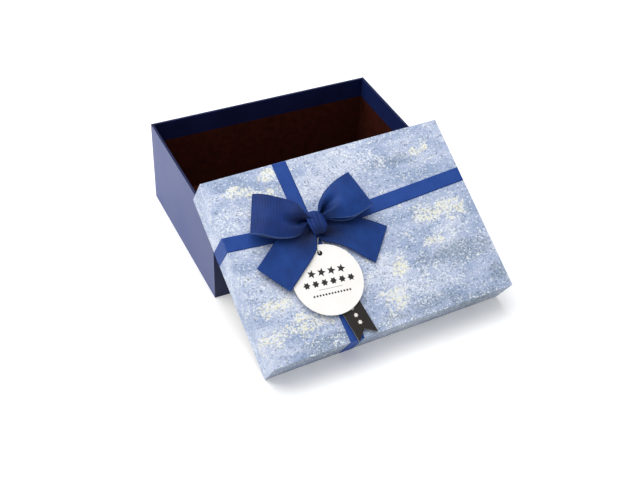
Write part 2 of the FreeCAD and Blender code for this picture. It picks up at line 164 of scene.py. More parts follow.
class Graph:
    """A material's node tree under construction, with short calls for the nodes used here."""

    def __init__(self, name: str) -> None:
        """Start a material with one principled shader."""
        self.material = bpy.data.materials.new(name)
        self.material.use_nodes = True
        self.tree = self.material.node_tree
        self.tree.nodes.clear()
        self.shader = self.tree.nodes.new("ShaderNodeBsdfPrincipled")
        output = self.tree.nodes.new("ShaderNodeOutputMaterial")
        self.tree.links.new(self.shader.outputs[0], output.inputs["Surface"])

    def node(self, kind: str, inputs: dict[Any, Any] | None = None, **settings: Any) -> Any:
        """Add a node.

        Args:
            kind: The node's type, without "ShaderNode".
            inputs: A value or an output socket for each input, by name or place.
            settings: The node's own settings.

        Returns:
            The node.
        """
        node = self.tree.nodes.new("ShaderNode" + kind)
        for key, value in settings.items():
            setattr(node, key, value)
        for key, value in (inputs or {}).items():
            self.feed(node.inputs[key], value)
        return node

    def feed(self, socket: Any, value: Any) -> None:
        """Link an output socket to an input, or set the input's value.

        Args:
            socket: The input.
            value: An output socket, a number or a colour.
        """
        if isinstance(value, bpy.types.NodeSocket):
            self.tree.links.new(value, socket)
        elif isinstance(value, tuple) and len(value) == 3 and socket.type == "RGBA":
            socket.default_value = (*value, 1.0)
        else:
            socket.default_value = value

    def surface(self, **inputs: Any) -> None:
        """Set or link the shader's inputs, named with underscores for spaces."""
        for key, value in inputs.items():
            self.feed(self.shader.inputs[key.replace("_", " ")], value)

    def place(self) -> Any:
        """Return the position on the object, in metres of the row frame."""
        return self.node("TexCoord").outputs["Object"]

    def lid_place(self) -> Any:
        """Return the position in the lid's own frame, in metres."""
        back = LID.matrix().inverted()
        mapping = self.node("Mapping", {"Vector": self.place(), "Location": back.to_translation(),
                                        "Rotation": back.to_euler()}, vector_type="POINT")
        return mapping.outputs[0]

    def weave_place(self) -> Any:
        """Return the position on a ribbon or thread, in metres: across, along and zero."""
        return self.node("UVMap", uv_map="weave").outputs[0]

    def stretched(self, vector: Any, scale: Point3, shift: Point3 = (0, 0, 0)) -> Any:
        """Return a vector scaled on each axis and shifted."""
        return self.node("Mapping", {"Vector": vector, "Scale": scale, "Location": shift}).outputs[0]

    def noise(self, vector: Any, scale: float, detail: float = 3, roughness: float = 0.5,
              distortion: float = 0.0) -> Any:
        """Return fractal noise from 0 to 1."""
        node = self.node("TexNoise", {"Vector": vector, "Scale": scale, "Detail": detail,
                                      "Roughness": roughness, "Distortion": distortion})
        return node.outputs[0]

    def ramp(self, value: Any, *stops: tuple[float, Any], ease: bool = False) -> Any:
        """Return a colour ramp of a value.

        Args:
            value: The value, from 0 to 1.
            stops: A place and a colour or grey for each stop.
            ease: True for soft turns at the stops.

        Returns:
            The colour's socket.
        """
        node = self.node("ValToRGB", {"Fac": value})
        node.color_ramp.interpolation = "EASE" if ease else "LINEAR"
        elements = node.color_ramp.elements
        while len(elements) < len(stops):
            elements.new(0.5)
        for element, (place, colour) in zip(elements, stops):
            element.position = place
            grey = colour if isinstance(colour, tuple) else (colour,) * 3
            element.color = (*grey, 1.0)
        return node.outputs["Color"]

    def maths(self, operation: str, first: Any, second: Any = 0.0, clamp: bool = False) -> Any:
        """Return a sum, product or other function of one or two values."""
        return self.node("Math", {0: first, 1: second}, operation=operation,
                         use_clamp=clamp).outputs[0]

    def times(self, first: Any, second: Any) -> Any:
        """Return the product of two values."""
        return self.maths("MULTIPLY", first, second)

    def scaled(self, value: Any, factor: float, offset: float) -> Any:
        """Return a value times a factor, plus an offset."""
        return self.node("Math", {0: value, 1: factor, 2: offset}, operation="MULTIPLY_ADD").outputs[0]

    def mix(self, share: Any, first: Any, second: Any, blend: str = "MIX") -> Any:
        """Return a mix of two colours.

        Args:
            share: The second colour's share, from 0 to 1.
            first: The colour underneath.
            second: The colour on top.
            blend: How the second colour meets the first.

        Returns:
            The colour's socket.
        """
        node = self.node("Mix", data_type="RGBA", blend_type=blend)
        for socket, value in zip((node.inputs[0], node.inputs[6], node.inputs[7]),
                                 (share, first, second)):
            self.feed(socket, value)
        return node.outputs[2]

    def parts(self, vector: Any) -> tuple[Any, Any, Any]:
        """Return a vector's three numbers."""
        node = self.node("SeparateXYZ", {0: vector})
        return node.outputs[0], node.outputs[1], node.outputs[2]

    def blob(self, vector: Any, centre: Point3, size: Point3) -> Any:
        """Return a soft spot.

        Args:
            vector: The place that the spot is read at.
            centre: The spot's middle.
            size: How far the spot reaches on each axis.

        Returns:
            1 at the middle, falling evenly to 0 at an ellipsoid around it.
        """
        scale = tuple(1 / value for value in size)
        shift = tuple(-value * factor for value, factor in zip(centre, scale))
        moved = self.stretched(vector, scale, shift)
        length = self.node("VectorMath", {0: moved}, operation="LENGTH").outputs["Value"]
        return self.maths("SUBTRACT", 1.0, length, clamp=True)

    def bump(self, height: Any, distance: float, strength: float = 1.0, under: Any = None) -> Any:
        """Return a bumped normal.

        Args:
            height: The height, from 0 to 1.
            distance: The height that 1 stands for, in metres.
            strength: The bump's share.
            under: A normal that the bump is laid over.

        Returns:
            The normal's socket.
        """
        inputs = {"Height": height, "Distance": distance, "Strength": strength}
        if under is not None:
            inputs["Normal"] = under
        return self.node("Bump", inputs).outputs[0]


# ---------------------------------------------------------------- finishes


@dataclass(frozen=True)
class SatinPaper:
    """Navy satin paper: a fine tooth, faint rub marks and a soft gloss."""

    colour: Colour = srgb(15, 23, 60)
    rubbed: Colour = srgb(28, 42, 92)
    roughness: float = 0.34
    sheen: float = 0.62
    sheen_tint: Colour = srgb(78, 112, 220)

    def build(self) -> bpy.types.Material:
        """Return the material."""
        graph = Graph("navy_satin_paper")
        place = graph.place()
        cloud = graph.noise(place, 22, 4, 0.55)
        tooth = graph.noise(place, 2600, 3, 0.6)
        rub = graph.ramp(graph.noise(graph.stretched(place, (1, 1, 2.4)), 110, 6, 0.68),
                         (0.60, 0.0), (0.78, 0.55))
        colour = graph.mix(graph.ramp(cloud, (0.35, 0.0), (0.7, 0.35)), self.colour, self.rubbed)
        graph.surface(
            Base_Color=graph.mix(rub, colour, self.rubbed),
            Roughness=graph.scaled(cloud, 0.12, self.roughness - 0.05),
            Normal=graph.bump(tooth, 0.00003, 0.6),
            IOR=1.5, Specular_IOR_Level=0.30,
            Sheen_Weight=self.sheen, Sheen_Roughness=0.38, Sheen_Tint=self.sheen_tint,
        )
        return graph.material


@dataclass(frozen=True)
class PrintedPaper:
    """The lid's pale blue-grey paper: a worn-plaster print with cream patches and fine flecks, and painted
    shade on its front wall.
    """

    base: Colour = srgb(176, 189, 219)
    cool: Colour = srgb(150, 168, 200)
    light: Colour = srgb(204, 213, 233)
    teal: Colour = srgb(112, 132, 150)
    cream: Colour = srgb(241, 238, 209)
    fleck: Colour = srgb(236, 241, 250)
    speck: Colour = srgb(92, 108, 132)
    # painted shade: the grey that the front wall's print is multiplied by
    front: Colour = srgb(196, 202, 203)
    front_wall: float = -0.0899  # y on the lid, in metres, past which the print gets painted shade as the front wall
    other_place: Point3 = (3.0, 7.0, 1.0)
    # middle and reach of each patch, in mm on the lid
    cream_patches: tuple[Patch, ...] = (
        ((73, 4, 34), (24, 17, 30)), ((101, 2, 34), (20, 18, 30)), ((68, -25, 34), (20, 8, 30)),
        ((24, -38, 34), (14, 13, 30)), ((8, -66, 34), (20, 20, 30)), ((-116, -66, 30), (20, 13, 30)),
        ((-105, -39, 34), (26, 13, 30)), ((-80, -61, 34), (30, 17, 30)), ((-63, 80, 34), (16, 9, 30)),
        ((-70, 64, 34), (26, 8, 30)), ((-95, 72, 34), (22, 9, 30)), ((92, 65, 34), (18, 8, 30)),
    )
    worn_patches: tuple[Patch, ...] = (
        ((91, -17, 34), (34, 20, 30)), ((20, 70, 34), (60, 22, 30)), ((-110, 45, 30), (40, 40, 40)),
        ((-30, 55, 34), (34, 18, 30)), ((40, -60, 34), (46, 26, 30)), ((-90, -30, 30), (50, 30, 40)),
        ((13, -32, 34), (30, 22, 30)), ((-38, 64, 34), (22, 12, 30)), ((72, -62, 34), (26, 14, 30)),
    )
    teal_patches: tuple[Patch, ...] = (
        ((84, -42, 34), (60, 15, 30)), ((118, -74, 30), (22, 16, 36)), ((86, -90, 30), (40, 8, 40)),
        ((40, -80, 30), (60, 12, 40)), ((-60, -84, 26), (70, 12, 40)), ((62, 62, 34), (50, 10, 30)),
    )

    def build(self) -> bpy.types.Material:
        """Return the material."""
        graph = Graph("worn_print_paper")
        lid = graph.lid_place()
        streaks, edges, fine, other = self._grains(graph, lid)
        # broad clouds of three tones, with streaks along the lid
        cloud = graph.noise(graph.stretched(lid, (0.5, 1.0, 1.0)), 42, 5, 0.6, 0.4)
        print_tone = graph.ramp(cloud, (0.36, self.cool), (0.50, self.base), (0.64, self.light))
        print_tone = graph.mix(graph.ramp(streaks, (0.38, 0.45), (0.50, 0.0)), print_tone, self.cool)
        print_tone = graph.mix(graph.ramp(streaks, (0.56, 0.0), (0.68, 0.40)), print_tone, self.light)
        # large teal and worn patches
        teal = self._torn(graph, lid, edges, self.teal_patches, 0.55)
        print_tone = graph.mix(graph.times(teal, 0.5), print_tone, self.teal)
        worn = self._torn(graph, lid, edges, self.worn_patches, 0.5)
        print_tone = graph.mix(graph.times(worn, 0.35), print_tone, self.light)
        # dark specks, then painted shade on the front wall
        specks = graph.ramp(graph.maths("ADD", other, graph.times(teal, 0.03)), (0.55, 0.0), (0.64, 0.70))
        print_tone = graph.mix(specks, print_tone, self.speck)
        is_shaded_front_wall = graph.maths("LESS_THAN", graph.parts(lid)[1], self.front_wall)
        print_tone = graph.mix(is_shaded_front_wall, print_tone, self.front, "MULTIPLY")
        # pale flecks, thicker where the print is worn
        drift = graph.times(graph.maths("SUBTRACT", edges, 0.5), 0.30)
        rich = graph.maths("ADD", graph.times(worn, 0.05), drift)
        flecks = graph.ramp(graph.maths("ADD", fine, rich), (0.545, 0.0), (0.65, 0.80))
        print_tone = graph.mix(flecks, print_tone, self.fleck)
        # broken cream flakes inside the cream patches
        cream = self._torn(graph, lid, edges, self.cream_patches, 0.5)
        flakes = graph.ramp(graph.maths("ADD", fine, graph.times(cream, 0.15)), (0.53, 0.0), (0.66, 0.82))
        inside = graph.ramp(cream, (0.0, 0.0), (0.5, 1.0))
        cream_tone = graph.ramp(other, (0.42, self.fleck), (0.56, self.cream))
        fibre = graph.noise(lid, 3000, 3, 0.6)
        graph.surface(
            Base_Color=graph.mix(graph.times(flakes, inside), print_tone, cream_tone),
            Roughness=graph.ramp(fine, (0.40, 0.50), (0.62, 0.62)),
            Normal=graph.bump(fine, 0.00004, 0.3, graph.bump(fibre, 0.00002, 0.5)),
            IOR=1.45,
        )
        return graph.material

    def _grains(self, graph: Graph, lid: Any) -> tuple[Any, Any, Any, Any]:
        """Return the print's grains: streaks, torn edges, and two fine ones of different places.

        Args:
            graph: The material's tree.
            lid: The place on the lid.

        Returns:
            The four noises.
        """
        streaks = graph.noise(graph.stretched(lid, (0.14, 1.0, 1.0)), 170, 4, 0.7)
        edges = graph.noise(graph.stretched(lid, (0.7, 1.0, 1.0)), 105, 6, 0.7, 0.4)
        fine = graph.noise(graph.stretched(lid, (0.85, 1.0, 1.0)), 620, 3, 0.62)
        other = graph.noise(graph.stretched(lid, (0.85, 1.0, 1.0), self.other_place), 540, 3, 0.62)
        return streaks, edges, fine, other

    @staticmethod
    def _torn(graph: Graph, lid: Any, edges: Any, patches: Sequence[Patch], reach: float) -> Any:
        """Return a mask of patches with ragged, broken edges.

        Args:
            graph: The material's tree.
            lid: The place on the lid.
            edges: The noise that breaks the edges.
            patches: Each patch's middle and reach, in mm.
            reach: How far the mask goes toward the patches' rims.

        Returns:
            The mask, from 0 to 1.
        """
        total = 0.0
        for centre, size in patches:
            blob = graph.blob(lid, tuple(v * MM for v in centre), tuple(v * MM for v in size))
            total = graph.maths("ADD", blob, total)
        inside = graph.maths("ADD", graph.maths("MINIMUM", total, 1.0), graph.times(edges, 2.6))
        return graph.ramp(graph.maths("SUBTRACT", inside, 1.3 - reach / 2), (0.36, 0.0), (1.0, 1.0),
                          ease=True)


@dataclass(frozen=True)
class LiningPaper:
    """Uncoated lining paper: soft fibres and a slight mottle."""

    name: str
    colour: Colour
    mottle: Colour

    def build(self) -> bpy.types.Material:
        """Return the material."""
        graph = Graph(self.name)
        place = graph.place()
        mottle = graph.noise(place, 140, 5, 0.6)
        fibre = graph.noise(graph.stretched(place, (1.0, 0.5, 1.0)), 1900, 3, 0.65)
        colour = graph.mix(graph.ramp(mottle, (0.35, 0.0), (0.68, 1.0)), self.colour, self.mottle)
        graph.surface(Base_Color=graph.mix(graph.ramp(fibre, (0.3, 0.25), (0.5, 0.0)),
                                           colour, self.mottle),
                      Roughness=graph.ramp(mottle, (0.3, 0.82), (0.7, 0.92)),
                      Normal=graph.bump(fibre, 0.00004, 0.5), Specular_IOR_Level=0.12)
        return graph.material


@dataclass(frozen=True)
class GrosgrainRibbon:
    """Grosgrain ribbon: fine cross ribs, firm selvedges that carry painted shade, and a low sheen.

    The rim share is how strong the painted highlight on the rim of one of the selvedges is.
    shade_share is how dark the painted shade in the gathers is, shade_at metres along the ribbon and
    shade_reach to either side. pitch is the ribs'.
    """

    name: str
    deep: Colour
    bright: Colour
    width: float
    # painted highlight along the rim of one edge: its colour, then its share
    rim: Colour = srgb(92, 118, 176)
    rim_highlight_share: float = 0.0
    shade: Colour = srgb(3, 10, 40)
    shade_share: float = 0.0
    shade_at: float = 0.010
    shade_reach: float = 0.020
    pitch: float = 0.0011
    wobble: float = 0.00025
    # widths of the selvedges, where the ribs fade out and painted shade darkens them
    selvedge_and_shade: tuple[float, float] = (0.0018, 0.0009)
    # widths of the painted highlight along one rim
    rim_highlight_width: tuple[float, float] = (0.0006, 0.0011)
    rib_height: float = 0.00022

    def build(self) -> bpy.types.Material:
        """Return the material."""
        graph = Graph(self.name)
        weave = graph.weave_place()
        across, along, _ = graph.parts(weave)
        half = self.width / 2
        # ribs across the ribbon, a little uneven
        wobble = graph.times(graph.noise(weave, 90, 2), self.wobble)
        phase = graph.times(graph.maths("ADD", along, wobble), 2 * math.pi / self.pitch)
        rib = graph.scaled(graph.maths("SINE", phase), 0.5, 0.5)
        colour = graph.mix(graph.scaled(rib, 0.50, 0.05), self.deep, self.bright)
        # uneven dye and dark gaps between yarns
        cloud = graph.noise(weave, 70, 4, 0.6)
        yarn = graph.noise(graph.stretched(weave, (1.0, 0.25, 1.0)), 3400, 2, 0.6)
        colour = graph.mix(graph.ramp(cloud, (0.35, 0.0), (0.7, 0.35)), colour, self.bright)
        colour = graph.mix(graph.ramp(yarn, (0.3, 0.3), (0.5, 0.0)), colour, self.deep)
        # painted shade on the selvedges, and a painted highlight on the rim of one of them
        edge = graph.maths("ABSOLUTE", graph.maths("SUBTRACT", across, half))
        inner, outer = (1 - value / self.width for value in self.selvedge_and_shade)
        selvedge_and_shade = graph.ramp(graph.maths("DIVIDE", edge, half), (inner, 0.0), (outer, 1.0))
        colour = graph.mix(graph.times(selvedge_and_shade, 0.45), colour, self.deep)
        full, none = (value / self.width for value in self.rim_highlight_width)
        lit = graph.ramp(graph.maths("DIVIDE", across, self.width), (full, 1.0), (none, 0.0))
        colour = graph.mix(graph.times(lit, self.rim_highlight_share), colour, self.rim)
        # shade in the gathers at the knot
        gathers = graph.blob(weave, (half, self.shade_at, 0), (self.width * 0.75, self.shade_reach, 1.0))
        colour = graph.mix(graph.times(gathers, self.shade_share), colour, self.shade)
        ribs = graph.times(rib, graph.maths("SUBTRACT", 1.0, selvedge_and_shade))
        graph.surface(Base_Color=colour, Roughness=graph.ramp(rib, (0.0, 0.66), (1.0, 0.5)),
                      Normal=graph.bump(ribs, self.rib_height, 0.6, graph.bump(yarn, 0.00003, 0.4)),
                      Sheen_Weight=0.08, Sheen_Roughness=0.4, Sheen_Tint=srgb(70, 120, 230),
                      Specular_IOR_Level=0.22)
        return graph.material


@dataclass(frozen=True)
class Card:
    """Printed tag card: smooth faces of one colour and cut edges of another, paler on the black card and
    darker on the white card, where the darker edge is painted shade.
    """

    name: str
    face: Colour
    tint: Colour
    edge: Colour
    roughness: float

    def build(self) -> bpy.types.Material:
        """Return the material."""
        graph = Graph(self.name)
        place = graph.place()
        normal = graph.node("TexCoord").outputs["Normal"]
        facing = graph.node("VectorMath", {0: normal, 1: tuple(LID.z)},
                            operation="DOT_PRODUCT").outputs["Value"]
        flat = graph.ramp(graph.maths("ABSOLUTE", facing), (0.55, 0.0), (0.75, 1.0))
        tooth = graph.noise(place, 2300, 3, 0.6)
        mottle = graph.noise(place, 60, 3, 0.5)
        face = graph.mix(graph.ramp(mottle, (0.35, 0.0), (0.7, 0.6)), self.face, self.tint)
        # cut edges in their own colour; on the white card this darker colour is painted shade
        graph.surface(Base_Color=graph.mix(flat, self.edge, face),
                      Roughness=graph.ramp(tooth, (0.3, self.roughness), (0.7, self.roughness + 0.1)),
                      Normal=graph.bump(tooth, 0.00002, 0.4))
        return graph.material


@dataclass(frozen=True)
class Fleck:
    """A plain stuff with flecks of a second colour: board, tape, glue or ink."""

    name: str
    colour: Colour
    fleck: Colour
    scale: float
    stretch: Point3 = (1.0, 1.0, 1.0)
    roughness: float = 0.85
    depth: float = 0.00006

    def build(self) -> bpy.types.Material:
        """Return the material."""
        graph = Graph(self.name)
        place = graph.stretched(graph.place(), self.stretch)
        fleck = graph.noise(place, self.scale, 5, 0.65)
        graph.surface(Base_Color=graph.mix(graph.ramp(fleck, (0.42, 0.0), (0.62, 1.0)),
                                           self.colour, self.fleck),
                      Roughness=graph.ramp(fleck, (0.3, self.roughness), (0.7, self.roughness * 0.9)),
                      Normal=graph.bump(fleck, self.depth, 0.4))
        return graph.material


@dataclass(frozen=True)
class TwistedThread:
    """White cotton thread: two plies that wind round each other, and fine fuzz."""

    colour: Colour = srgb(238, 238, 234)
    shade: Colour = srgb(176, 178, 186)
    pitch: float = 0.0016

    def build(self) -> bpy.types.Material:
        """Return the material."""
        graph = Graph("twisted_cotton_thread")
        place = graph.place()
        bands = graph.node("TexWave", {"Vector": graph.stretched(place, (1.0, 1.6, 1.0)),
                                       "Scale": 0.5 / self.pitch, "Distortion": 0.6,
                                       "Detail": 1.0}, wave_type="BANDS",
                           bands_direction="DIAGONAL").outputs["Fac"]
        fuzz = graph.noise(place, 5200, 2)
        graph.surface(Base_Color=graph.mix(graph.ramp(bands, (0.1, 0.8), (0.5, 0.0)),
                                           self.colour, self.shade),
                      Roughness=graph.ramp(fuzz, (0.3, 0.8), (0.7, 0.95)),
                      Normal=graph.bump(bands, 0.0002, 0.7))
        return graph.material


# painted light and shade: the bow's one ribbon in a shaded copy of its tones for the left loop and the
# knot, and a lit copy for the right loop and the tails
SHADED_BOW_DEEP, SHADED_BOW_BRIGHT = srgb(4, 22, 70), srgb(26, 68, 150)
LIT_BOW_DEEP, LIT_BOW_BRIGHT = srgb(7, 31, 86), srgb(34, 85, 172)
BAND_DEEP, BAND_BRIGHT = srgb(20, 54, 124), srgb(46, 90, 176)
BOW_WIDTH, BAND_WIDTH = 0.038, 0.0142


class BowPart(Enum):
    """The parts of the bow whose ribbon gets its own painted light or shade."""

    LEFT_LOOP = "left_loop"
    RIGHT_LOOP = "right_loop"
    TAIL = "tail"


class Ink(Enum):
    """The inks printed on the tags, by colour and fleck."""

    BLACK = (srgb(24, 23, 24), srgb(34, 33, 34))
    GREY = (srgb(150, 148, 146), srgb(168, 166, 163))
    WHITE = (srgb(240, 238, 232), srgb(226, 222, 214))


class Finishes:
    """Every finish of the gift box, each built once."""

    def __init__(self) -> None:
        """Build the materials by slot, by part of the bow and by ink."""
        recipes = {
            Slot.NAVY_PAPER: SatinPaper(),
            Slot.PRINTED_PAPER: PrintedPaper(),
            Slot.BROWN_LINING: LiningPaper("brown_lining_paper", srgb(52, 17, 8), srgb(72, 27, 14)),
            Slot.PALE_LINING: LiningPaper("pale_lining_paper", srgb(226, 224, 216), srgb(205, 201, 190)),
            Slot.BAND_RIBBON: GrosgrainRibbon("band_grosgrain", BAND_DEEP, BAND_BRIGHT, BAND_WIDTH),
            # the knot takes the shaded copy of the bow's tones: painted shade
            Slot.BOW_RIBBON: GrosgrainRibbon(
                "shaded_knot_grosgrain", SHADED_BOW_DEEP, SHADED_BOW_BRIGHT, BOW_WIDTH, shade_share=0.7, shade_at=0.0265,
                shade_reach=0.012),
            # the white card's grey edge colour is painted shade on its cut edges
            Slot.WHITE_CARD: Card("white_tag_card", srgb(251, 250, 248), srgb(247, 243, 238),
                                  srgb(206, 200, 190), 0.5),
            Slot.BLACK_CARD: Card("black_tag_card", srgb(24, 19, 16), srgb(32, 26, 22),
                                  srgb(228, 222, 212), 0.42),
            Slot.GREYBOARD: Fleck("greyboard", srgb(136, 131, 122), srgb(112, 106, 97), 420),
            Slot.CORNER_TAPE: Fleck("kraft_corner_tape", srgb(190, 158, 116), srgb(160, 128, 90),
                                    600, (1.0, 1.0, 0.3)),
            Slot.HOT_MELT: Fleck("hot_melt_glue", srgb(232, 224, 196), srgb(214, 204, 170), 160,
                                 roughness=0.35, depth=0.0002),
            Slot.WHITE_THREAD: TwistedThread(),
        }
        self.by_slot = {slot: recipe.build() for slot, recipe in recipes.items()}
        loop = {"rim_highlight_share": 0.5, "shade_share": 0.8, "pitch": 0.0014}
        # painted shade on the left loop, painted light on the right loop and the tails
        ribbons = {
            BowPart.LEFT_LOOP: GrosgrainRibbon("loop_grosgrain", SHADED_BOW_DEEP, SHADED_BOW_BRIGHT, BOW_WIDTH,
                                               **loop),
            BowPart.RIGHT_LOOP: GrosgrainRibbon("lit_loop_grosgrain", LIT_BOW_DEEP, LIT_BOW_BRIGHT, BOW_WIDTH,
                                                **loop),
            BowPart.TAIL: GrosgrainRibbon("lit_tail_grosgrain", LIT_BOW_DEEP, LIT_BOW_BRIGHT, BOW_WIDTH,
                                          shade_share=1.0, shade_reach=0.030, pitch=0.0015),
        }
        self.ribbons = {part: recipe.build() for part, recipe in ribbons.items()}
        self.inks = {ink: Fleck(f"{ink.name.lower()}_tag_ink", *ink.value, 1800, roughness=0.5,
                                depth=0.00001).build() for ink in Ink}

    def dress_cad(self) -> None:
        """Give every node of the CAD model the finish of its slot."""
        for node in frame["nodes"].values():
            for socket in node.material_slots:
                slot = Slot(socket.material.name.split(".")[0])
                socket.material = self.by_slot[slot]


def stand_in(piece: bpy.types.Object, replaced: str) -> None:
    """Put a piece on the lid's body in place of a CAD node, and hide the node.

    Args:
        piece: The piece.
        replaced: The node's name.
    """
    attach(piece, Body.LID.value)
    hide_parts(replaced)


# ---------------------------------------------------------------- surfaces


def curve_through(points: np.ndarray, count: int) -> np.ndarray:
    """Return a smooth curve through points, evenly spaced along each span.

    Args:
        points: The points, one a row.
        count: How many points the curve gets.

    Returns:
        The curve's points, one a row.
    """
    points = np.asarray(points, float)
    before, after = 2 * points[0] - points[1], 2 * points[-1] - points[-2]
    padded = np.vstack([before, points, after])
    place = np.linspace(0, len(points) - 1, count)
    span = np.minimum(place.astype(int), len(points) - 2)
    t = (place - span)[:, None]
    p0, p1, p2, p3 = (padded[span + shift] for shift in range(4))
    return 0.5 * (2 * p1 + (p2 - p0) * t + (2 * p0 - 5 * p1 + 4 * p2 - p3) * t ** 2
                  + (3 * p1 - p0 - 3 * p2 + p3) * t ** 3)


def even_path(points: np.ndarray, count: int) -> np.ndarray:
    """Return a smooth curve through points, at even steps of length.

    Args:
        points: The points, one a row.
        count: How many points the curve gets.

    Returns:
        The curve's points, one a row.
    """
    fine = curve_through(points, 40 * len(points))
    steps = np.concatenate([[0], np.cumsum(np.linalg.norm(np.diff(fine, axis=0), axis=1))])
    wanted = np.linspace(0, steps[-1], count)
    return np.stack([np.interp(wanted, steps, fine[:, axis]) for axis in range(fine.shape[1])], 1)


def sheet_object(name: str, points: np.ndarray, width: float, closed: bool = False,
                 thickness: float = 0.35) -> bpy.types.Object:
    """Make a thin woven sheet from a grid of points.

    Args:
        name: The piece's name.
        points: Rows along the sheet, points across it, in mm of the lid's frame.
        width: The woven width across a row, in metres, for the weave's coordinates.
        closed: True where the last row meets the first.
        thickness: The sheet's thickness in mm.

    Returns:
        The object, with its place in its mesh and the weave's coordinates in metres.
    """
    rows, columns = points.shape[:2]
    middle = points[:, columns // 2]
    if closed:
        middle = np.vstack([middle, middle[:1]])
    along = np.concatenate([[0], np.cumsum(np.linalg.norm(np.diff(middle, axis=0), axis=1))]) * MM
    placed = LID.place(points).reshape(-1, 3)
    faces, corners = [], []
    for row in range(rows if closed else rows - 1):
        after = (row + 1) % rows
        for column in range(columns - 1):
            faces.append((row * columns + column, row * columns + column + 1,
                          after * columns + column + 1, after * columns + column))
            left, right = (width * (column + step) / (columns - 1) for step in (0, 1))
            corners += [(left, along[row]), (right, along[row]),
                        (right, along[row + 1]), (left, along[row + 1])]
    mesh = bpy.data.meshes.new(name)
    mesh.from_pydata([tuple(point) for point in placed], [], faces)
    layer = mesh.uv_layers.new(name="weave")
    layer.data.foreach_set("uv", np.array(corners, np.float32).ravel())
    mesh.polygons.foreach_set("use_smooth", [True] * len(faces))
    piece = scene_object(name, mesh)
    solid = piece.modifiers.new("cloth_thickness", "SOLIDIFY")
    solid.thickness = thickness * MM
    solid.offset = 0.0
    return bake_modifiers(piece)


def bake_modifiers(piece: bpy.types.Object) -> bpy.types.Object:
    """Turn a piece's evaluated shape into its plain mesh, and remove its modifiers.

    Args:
        piece: The piece, with its modifiers live.

    Returns:
        The same piece.
    """
    graph = bpy.context.evaluated_depsgraph_get()
    graph.update()
    mesh = bpy.data.meshes.new_from_object(piece.evaluated_get(graph))
    mesh.name = piece.name
    piece.modifiers.clear()
    piece.data = mesh
    return piece


def table(stops: Sequence[Point2], at: np.ndarray) -> np.ndarray:
    """Return a smooth function through stops, held level beyond both ends.

    Args:
        stops: The function's places and values.
        at: The places to read it at.

    Returns:
        The values, in the shape of the places.
    """
    places, values = np.array(stops, float).T
    slopes = np.gradient(values, places)
    at = np.clip(at, places[0], places[-1])
    span = np.clip(np.searchsorted(places, at, side="right") - 1, 0, len(places) - 2)
    step = places[span + 1] - places[span]
    t = (at - places[span]) / step
    return ((1 + 2 * t) * (1 - t) ** 2 * values[span] + t * (1 - t) ** 2 * step * slopes[span]
            + t * t * (3 - 2 * t) * values[span + 1] - t * t * (1 - t) * step * slopes[span + 1])


# ---------------------------------------------------------------- bow


@dataclass(frozen=True)
class Fold:
    """A crease or swell that runs out from the knot across a gathered ribbon.

    start and end are places across the ribbon, from -1 to 1, at the knot and far from it.
    The fold has its height and reach (share of the half width) at the knot, and fades out
    over the length given, in mm.
    """

    start: float
    end: float
    height: float
    reach: float
    length: float

    def lift(self, out: np.ndarray, across: np.ndarray) -> np.ndarray:
        """Return the fold's height.

        Args:
            out: Distances out from the knot, in mm.
            across: Places across the ribbon, from -1 to 1.

        Returns:
            The heights, in mm.
        """
        fade = np.clip(1 - out / self.length, 0, 1)
        fade = fade * fade * (3 - 2 * fade)
        share = np.clip(out / self.length, 0, 1)
        centre = self.start + (self.end - self.start) * share
        return self.height * fade * np.exp(-((across - centre) / self.reach) ** 2)


@dataclass(frozen=True)
class GatheredRibbon:
    """A length of wide ribbon gathered at the knot: a loop's two layers or a tail.

    root and tip are the places where it leaves the knot and where its far edge has its
    middle, in mm on the lid. upper and lower give its edges' places across, by distance
    out from the root. path is its middle line: distance out and height over the rim plane.
    folds lie in the upper layer or a tail, under_folds in a loop's under layer. crown is the
    swell of the middle by distance out, slant shifts the far edge's ends, and under_inset is
    how much narrower the under layer is.
    """

    name: str
    replaced: str
    part: BowPart
    root: Point2
    tip: Point2
    upper: tuple[Point2, ...]
    lower: tuple[Point2, ...]
    path: tuple[Point2, ...]
    folds: tuple[Fold, ...] = ()
    under_folds: tuple[Fold, ...] = ()
    crown: tuple[Point2, ...] = ((0, 0), (60, 0))
    slant: float = 0.0
    under_inset: float = 0.0
    rows: int = 150
    columns: int = 41

    def grid(self) -> np.ndarray:
        """Return the ribbon's points, rows along it and points across it, in mm."""
        path = even_path(np.array(self.path, float), self.rows)
        out, level = path[:, :1], path[:, 1:]
        top = int(np.argmax(path[:, 0]))
        is_loop = top < self.rows - 1
        under = (np.arange(self.rows)[:, None] > top) if is_loop else np.zeros((self.rows, 1), bool)
        across = np.linspace(-1, 1, self.columns)[None, :]
        reach = max(path[:, 0])
        slanted = out + self.slant * across * np.clip(out / reach, 0, 1) ** 2
        high, low = (table(stops, slanted) for stops in (self.upper, self.lower))
        side = (high + low) / 2 + across * (high - low) / 2 * (1 - self.under_inset * under)
        lift = sum((fold.lift(slanted, across) for fold in self.folds), np.zeros_like(side))
        under_lift = sum((fold.lift(slanted, across) for fold in self.under_folds),
                         np.zeros_like(side))
        crown = table(self.crown, slanted) * (1 - across ** 2)
        height = level + np.where(under, under_lift, lift + crown)
        axis = np.array(self.tip, float) - np.array(self.root, float)
        axis /= np.linalg.norm(axis)
        sideways = np.array([-axis[1], axis[0]])
        if self.tip[0] < self.root[0]:
            sideways = -sideways
        plan = (np.array(self.root) + slanted[..., None] * axis + side[..., None] * sideways)
        return np.concatenate([plan, height[..., None]], axis=-1)


@dataclass(frozen=True)
class Crease:
    """A crease over the knot: its place across, how far it sways, its reach and its depth."""

    place: float
    sway: float
    reach: float
    depth: float

    def sink(self, across: np.ndarray, turn: np.ndarray) -> np.ndarray:
        """Return how far the crease sinks at places across and a turn's cosine."""
        return self.depth * np.exp(-((across - self.place - self.sway * turn) / self.reach) ** 2)


